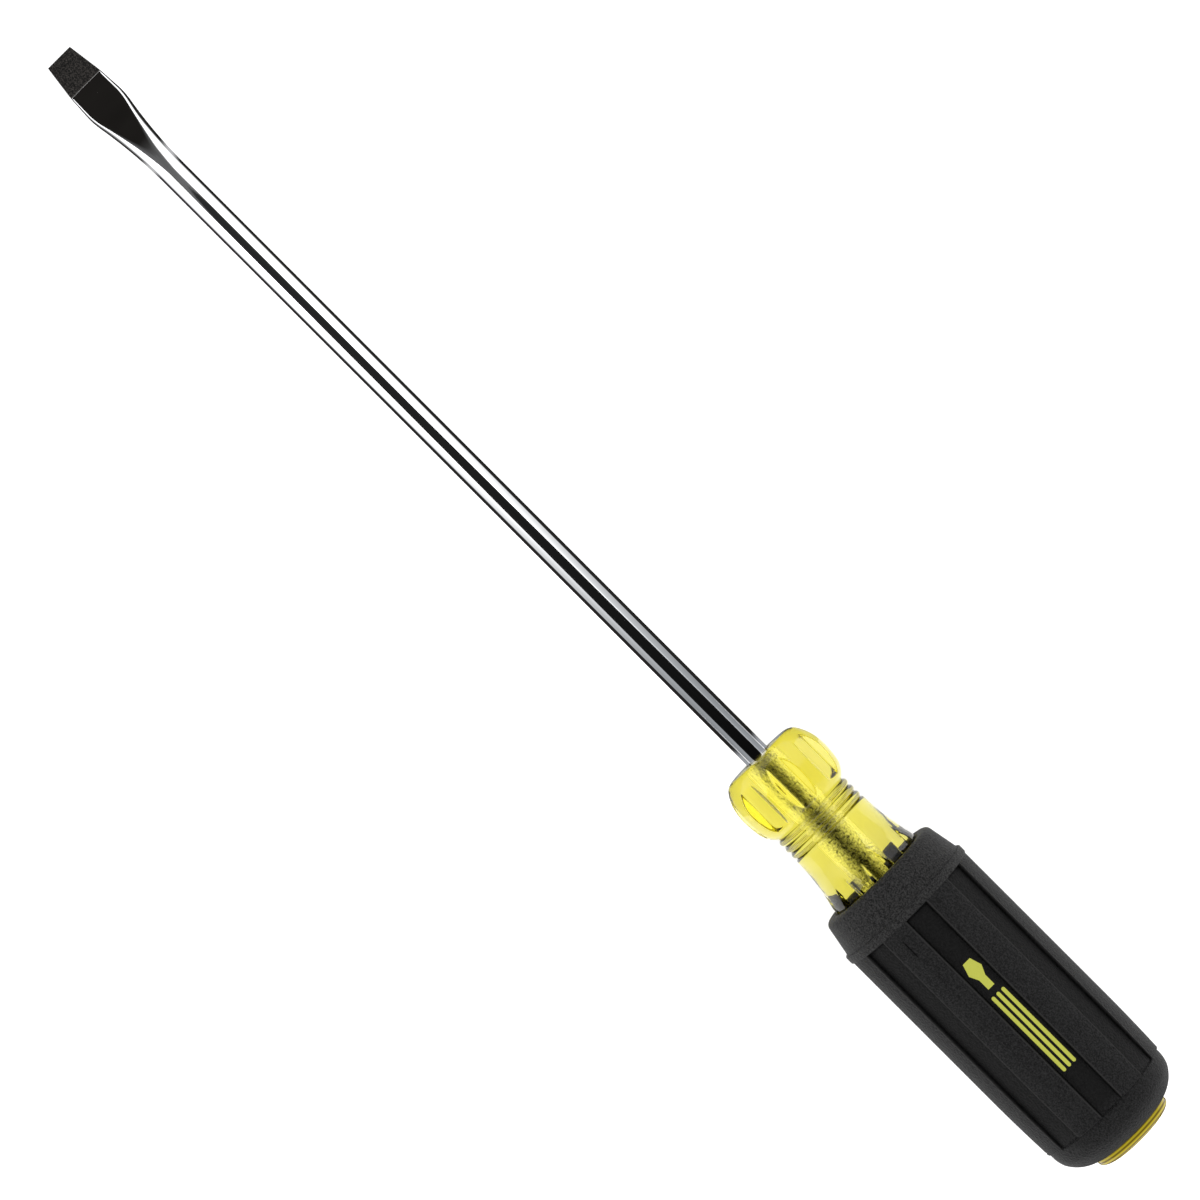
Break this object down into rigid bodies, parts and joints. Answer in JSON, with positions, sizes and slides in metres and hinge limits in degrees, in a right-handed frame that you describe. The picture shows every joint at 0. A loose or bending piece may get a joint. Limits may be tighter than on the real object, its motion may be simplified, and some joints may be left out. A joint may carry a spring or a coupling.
{
  "type": "slotted screwdriver",
  "caption": "Slotted screwdriver with a flared keystone tip, a round chromed shank, a clear yellow fluted handle and a black cushion grip.",
  "frame": {"origin": "centre of the blade's end face", "axes": "+X along the blade from its end face to the butt of the handle, +Z square to the flats of the tip, +Y across the flats"},
  "size_m": [0.314, 0.0328, 0.0328],
  "materials": {
    "chromed_steel": "polished chrome plating on the bar, satin black oxide on the last 8 mm of the tip",
    "yellow_acetate": "clear lemon-yellow cellulose acetate, polished",
    "black_rubber": "matt black cushion rubber with a fine leather grain",
    "yellow_ink": "printed yellow-green ink"
  },
  "bodies": {
    "root": {"blade": "chromed_steel", "handle": "yellow_acetate", "grip": "black_rubber", "printed_mark": "yellow_ink"}
  },
  "joints": []
}
